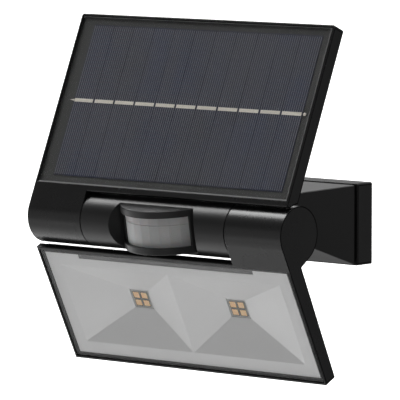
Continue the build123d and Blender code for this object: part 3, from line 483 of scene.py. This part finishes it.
def piece_materials():
    """Materials for the added pieces, and for the nodes that look unlike the rest of their slot."""
    made = {
        "fingers": metal(
            "fingers",
            (0.32, 0.32, 0.35),
            (0.38, 0.38, 0.41),
            (0.4, 0.5),
            1500.0,
            (1.0, 1.0, 0.2),
            0.2,
        ),
        # painted shade: dark brownish lines round the LEDs' phosphor pads
        "led_shade_lines": grained(
            "led_shade_lines", (0.055, 0.045, 0.04), (0.08, 0.065, 0.055), (0.45, 0.6), 2000.0, 0.00001
        ),
        "smooth_housing": black_plastic("smooth_housing", 0.25, 0.30),
        "retainer": grained(
            "retainer_grey", (0.12,) * 3, (0.15,) * 3, (0.4, 0.5), 1800.0, 0.00001
        ),
        # painted highlight: pale grey for the light line along the solar glass's lower edge
        "highlight_bead": grained(
            "painted_edge_highlight", (0.46,) * 3, (0.58,) * 3, (0.35, 0.5), 900.0, 0.00002, 160.0
        ),
        # painted shade: near-black, dull lines laid where the edges look dark
        "painted_shade_lines": grained(
            "painted_shade_lines", (0.001,) * 3, (0.002,) * 3, (0.85, 0.95), 900.0, 0.00001
        ),
    }
    shader = made["painted_shade_lines"].node_tree.nodes["Principled BSDF"]
    shader.inputs["Specular IOR Level"].default_value = EDGE_LINE_SPECULAR
    return made


# ---- Places taken from the frame ------------------------------------------------------
FACING_FORWARD = -0.2       # highest Y of a forward face's normal


def front_normal(node):
    """The direction that a node's largest forward face looks in."""
    sums = {}
    for face in nodes[node].data.polygons:
        if face.normal.y < FACING_FORWARD:
            key = tuple(round(part, 1) for part in face.normal)
            sums[key] = sums.get(key, Vector()) + face.normal * face.area
    return max(sums.values(), key=lambda total: total.length).normalized()


class Slab:
    """A flat node's axes through the barrel's middle: X along it, Y up the node, Z out of it."""

    def __init__(self, node):
        normal = front_normal(node)
        along = Vector((1.0, 0.0, 0.0))
        turn = Matrix((along, normal.cross(along), normal)).transposed()
        self.place = Matrix.Translation(axis_point) @ turn.to_4x4()

    def span(self, node):
        """Lowest and highest local coordinates of a node."""
        inverse = self.place.inverted()
        points = [inverse @ vertex.co for vertex in nodes[node].data.vertices]
        low = Vector([min(p[i] for p in points) for i in range(3)])
        high = Vector([max(p[i] for p in points) for i in range(3)])
        return low, high


def piece(name, mesh, place, material, body):
    """Turn a bmesh into a piece that rides on a body."""
    bmesh.ops.recalc_face_normals(mesh, faces=mesh.faces[:])
    mesh.transform(place)
    data = bpy.data.meshes.new(name)
    mesh.to_mesh(data)
    mesh.free()
    data.materials.append(material)
    obj = bpy.data.objects.new(name, data)
    bpy.context.scene.collection.objects.link(obj)
    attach(obj, body)
    return obj


def add_prism(mesh, ends):
    """A solid between two outlines of the same number of points."""
    first, last = [[mesh.verts.new(point) for point in outline] for outline in ends]
    mesh.faces.new(first)
    mesh.faces.new(last[::-1])
    for index, vertex in enumerate(first):
        beside = (index + 1) % len(first)
        mesh.faces.new((vertex, last[index], last[beside], first[beside]))


def add_bar(mesh, low, high, crown=0.0):
    """A flat bar along Y with a crowned top, from one corner to the other."""
    middle = (low[0] + high[0]) / 2
    shoulder = high[2] - crown
    section = (
        (low[0], low[2]),
        (low[0], shoulder),
        (middle, high[2]),
        (high[0], shoulder),
        (high[0], low[2]),
    )
    add_prism(mesh, [[(x, y, z) for x, z in section] for y in (low[1], high[1])])


def add_sheet(mesh, grid):
    """Faces over rows of vertices."""
    for row, beside in zip(grid, grid[1:]):
        for index in range(len(row) - 1):
            mesh.faces.new((row[index], beside[index], beside[index + 1], row[index + 1]))


# ---- Pieces --------------------------------------------------------------------------
FINGERS = 10                # printed on each cell
FINGER_WIDTH = 0.26 * MM
FINGER_HEIGHT = 0.03 * MM
CELL_MARGIN = 0.7 * MM
NARROWEST_CELL = 5.0 * MM


def cell_columns(slab):
    """(left, right) of every cell strip, each reaching back over the thin gap at its left."""
    inverse = slab.place.inverted()
    ends = sorted(round((inverse @ v.co).x, 6) for v in nodes["solar_cells"].data.vertices)
    rights = [x for last, x in zip(ends, ends[1:]) if x - last > NARROWEST_CELL]
    return zip([ends[0], *rights], rights)


def grid_fingers(materials):
    """Fine printed silver lines up each cell."""
    slab = Slab("panel_glass")
    low, high = slab.span("solar_cells")
    mesh = bmesh.new()
    for left, right in cell_columns(slab):
        pitch = (right - left) / FINGERS
        for index in range(FINGERS):
            x = left + pitch * (index + 0.5)
            add_bar(
                mesh,
                (x - FINGER_WIDTH / 2, low.y + CELL_MARGIN, high.z),
                (x + FINGER_WIDTH / 2, high.y - CELL_MARGIN, high.z + FINGER_HEIGHT),
                FINGER_HEIGHT / 3,
            )
    piece("grid_fingers", mesh, slab.place, materials["fingers"], "solar_panel")


LENS_STRIPS = 9
LENS_SPLIT = 0.70           # share of the height below the short upper row
LENS_STEP = 0.16 * MM       # the mesh's step round the bow
LENS_STEP_UP = 1.5 * LENS_STEP
LENS_WALL = 0.8 * MM
LENS_SKIN = 0.02 * MM       # from the node's surface in to the grooves' crests
LOWER_CENTRES = (0.35, 0.65)        # rings' middles up the lower row, in every other strip
GROOVE_PITCH = 1.0 * MM
GROOVE_DEPTH = 0.07 * MM
FACET_DEPTH = 0.22 * MM


def groove(x, y):
    """Depth of the ring grooves at a place in one facet, from the facet's middle."""
    ring = hypot(x, y) / GROOVE_PITCH
    return GROOVE_DEPTH * (ring - int(ring))


def fresnel_lens(materials):
    """The bowed lens: flat strips in two rows, each with its own ring grooves."""
    slab = Slab("sensor_board")
    low, high = slab.span("sensor_lens")
    height, rise = high.y - low.y, high.z - low.z
    radius = (high.x**2 + rise**2) / (2 * rise)
    centre = high.z - radius
    reach = acos((low.z - centre) / radius)
    columns = int(2 * reach * radius / LENS_STEP)
    rows = int(height / LENS_STEP_UP)
    split = low.y + height * LENS_SPLIT
    strip = 2 * reach / LENS_STRIPS
    outside, inside = [], []
    mesh = bmesh.new()
    for column in range(columns + 1):
        turn = -reach + 2 * reach * column / columns
        number = min(int((turn + reach) / strip), LENS_STRIPS - 1)
        middle = -reach + (number + 0.5) * strip
        sag = radius * (1 - cos(strip / 2) / cos(turn - middle))
        upper_centre = (split + high.y) / 2
        lower_centre = low.y + (split - low.y) * LOWER_CENTRES[number % 2]
        outer, inner = [], []
        for row in range(rows + 1):
            y = low.y + height * row / rows
            rings_y = y - (upper_centre if y > split else lower_centre)
            depth = sag + groove(radius * (turn - middle), rings_y) + LENS_SKIN
            if abs(y - split) < LENS_STEP:
                depth += FACET_DEPTH
            at, back = radius - depth, radius - LENS_WALL
            outer.append(mesh.verts.new((at * sin(turn), y, centre + at * cos(turn))))
            inner.append(mesh.verts.new((back * sin(turn), y, centre + back * cos(turn))))
        outside.append(outer)
        inside.append(inner)
    add_sheet(mesh, outside)
    add_sheet(mesh, inside)
    for row in (0, rows):
        add_sheet(mesh, [[edge[row] for edge in outside], [edge[row] for edge in inside]])
    for column in (0, columns):
        add_sheet(mesh, [outside[column], inside[column]])
    lens = piece(
        "fresnel_lens", mesh, slab.place, materials["sensor_lens"], "bracket"
    )
    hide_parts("sensor_lens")


BEAD_WIDTH = 0.30 * MM
BEAD_LIFT = 0.12 * MM


def glass_highlight_bead(materials):
    """A thin pale strip along the glass's lower edge, on the black seal: a painted highlight where that edge
    catches the light.
    """
    slab = Slab("panel_glass")
    low, high = slab.span("panel_glass")
    foot = slab.span("panel_seal")[1].z
    top = foot + BEAD_LIFT
    section = (
        (low.y - BEAD_WIDTH, foot),
        (low.y - BEAD_WIDTH / 2, top),
        (low.y, top - BEAD_LIFT / 3),
        (low.y, foot),
    )
    mesh = bmesh.new()
    add_prism(mesh, [[(x, y, z) for y, z in section] for x in (low.x, high.x)])
    piece("glass_highlight_bead", mesh, slab.place, materials["highlight_bead"], "solar_panel")


OUTLINE_WIDTH = 0.38 * MM
OUTLINE_HEIGHT = 0.06 * MM
SAME_POINT = 0.001 * MM


def pad_places(slab):
    """(left, right, foot, top) of every phosphor pad, from the node's separate solids."""
    inverse = slab.place.inverted()
    mesh = bmesh.new()
    mesh.from_mesh(nodes["led_phosphors"].data)
    bmesh.ops.remove_doubles(mesh, verts=mesh.verts[:], dist=SAME_POINT)
    left_over = set(mesh.verts)
    pads = []
    while left_over:
        found, queue = [], [left_over.pop()]
        while queue:
            vertex = queue.pop()
            found.append(inverse @ vertex.co)
            for edge in vertex.link_edges:
                other = edge.other_vert(vertex)
                if other in left_over:
                    left_over.remove(other)
                    queue.append(other)
        xs = [point.x for point in found]
        ys = [point.y for point in found]
        pads.append((min(xs), max(xs), min(ys), max(ys)))
    mesh.free()
    return sorted(pads)


def led_outlines(materials):
    """Painted shade: dark lines round every phosphor pad, on top of its package."""
    slab = Slab("lamp_glass")
    under = slab.span("led_packages")[1].z
    over = under + OUTLINE_HEIGHT
    mesh = bmesh.new()
    for pad in pad_places(slab):
        left, right, foot, top = pad
        wide = (
            left - OUTLINE_WIDTH, right + OUTLINE_WIDTH, foot - OUTLINE_WIDTH, top + OUTLINE_WIDTH
        )
        rings = []
        for (x0, x1, y0, y1), z in ((wide, under), (wide, over), (pad, over), (pad, under)):
            corners = ((x0, y0), (x1, y0), (x1, y1), (x0, y1))
            rings.append([mesh.verts.new((x, y, z)) for x, y in corners])
        for index, ring in enumerate(rings):
            following = rings[(index + 1) % len(rings)]
            for corner in range(4):
                beside = (corner + 1) % 4
                mesh.faces.new((ring[corner], ring[beside], following[beside], following[corner]))
    piece("led_outlines", mesh, slab.place, materials["led_shade_lines"], "lamp_head")


LINED_NODES = (             # node and body
    ("lamp_housing", "lamp_head"),
    ("panel_housing", "solar_panel"),
    ("wall_plate", "bracket"),
)
LINE_WIDTH = 0.55 * MM
LINE_HEIGHT = 0.02 * MM
SIDE_DEPTH = 0.01 * MM      # how far in from the outermost X a side face may reach
FLAT_ANGLE = 0.01           # radians
RIM_LINES = (               # from and to, in from the rim's outer edge
    (0.36 * MM, 0.72 * MM),
    (1.22 * MM, 1.68 * MM),
)


def painted_shade_lines(materials):
    """Painted shade: dull dark lines just inside the outlines of the slabs' and the wall plate's side faces."""
    for node, body in LINED_NODES:
        mesh = bmesh.new()
        mesh.from_mesh(nodes[node].data)
        bmesh.ops.remove_doubles(mesh, verts=mesh.verts[:], dist=SAME_POINT)
        reach = max(vertex.co.x for vertex in mesh.verts) - SIDE_DEPTH
        inner = [
            face for face in mesh.faces if min(abs(vertex.co.x) for vertex in face.verts) < reach
        ]
        bmesh.ops.delete(mesh, geom=inner, context="FACES")
        # Edges shorter than the line's width would turn the inset into spikes.
        bmesh.ops.remove_doubles(mesh, verts=mesh.verts[:], dist=LINE_WIDTH)
        bmesh.ops.dissolve_limit(
            mesh, angle_limit=FLAT_ANGLE, verts=mesh.verts[:], edges=mesh.edges[:]
        )
        sides = mesh.faces[:]
        bmesh.ops.inset_region(
            mesh, faces=sides, thickness=LINE_WIDTH, use_boundary=True, use_even_offset=False
        )
        bmesh.ops.delete(mesh, geom=sides, context="FACES")
        for vertex in mesh.verts:
            vertex.co.x += copysign(LINE_HEIGHT, vertex.co.x)
        bmesh.ops.solidify(mesh, geom=mesh.faces[:], thickness=LINE_HEIGHT)
        line_material = materials["painted_shade_lines"]
        piece(node + "_painted_shade_lines", mesh, Matrix(), line_material, body)


def rim_shade_lines(materials):
    """Painted shade: dull dark lines on the lamp head's rim, beside its outer bevel and beside the glass."""
    slab = Slab("lamp_glass")
    glass_top = slab.span("lamp_glass")[1].y
    low, high = slab.span("lamp_housing")
    under, over = high.z - LINE_HEIGHT, high.z + LINE_HEIGHT
    mesh = bmesh.new()
    for near, far in RIM_LINES:
        foot = low.y + near
        add_bar(mesh, (low.x + near, foot, under), (low.x + far, glass_top, over))
        add_bar(mesh, (high.x - far, foot, under), (high.x - near, glass_top, over))
        add_bar(mesh, (low.x + far, foot, under), (high.x - far, low.y + far, over))
    # painted shade: the rim's lines take the same near-black dull material
    line_material = materials["painted_shade_lines"]
    piece("lamp_rim_lines", mesh, slab.place, line_material, "lamp_head")


def finish_nodes(materials):
    """Give every CAD node its slot's material, apart from the retainer and two housings."""
    for row in frame["record"]["subparts"]:
        data = nodes[row["node"]].data
        data.materials.clear()
        data.materials.append(materials[row["material_slot"]])
    nodes["reflector_retainer"].data.materials[0] = materials["retainer"]
    for name in ("lamp_housing", "panel_housing"):
        nodes[name].data.materials[0] = materials["smooth_housing"]


make_camera()
make_stage()
make_world()
make_lights()
bpy.context.scene.view_settings.view_transform = "Standard"

materials = {**slot_materials(), **piece_materials()}
finish_nodes(materials)
painted_shade_lines(materials)
rim_shade_lines(materials)
glass_highlight_bead(materials)
grid_fingers(materials)
fresnel_lens(materials)
led_outlines(materials)
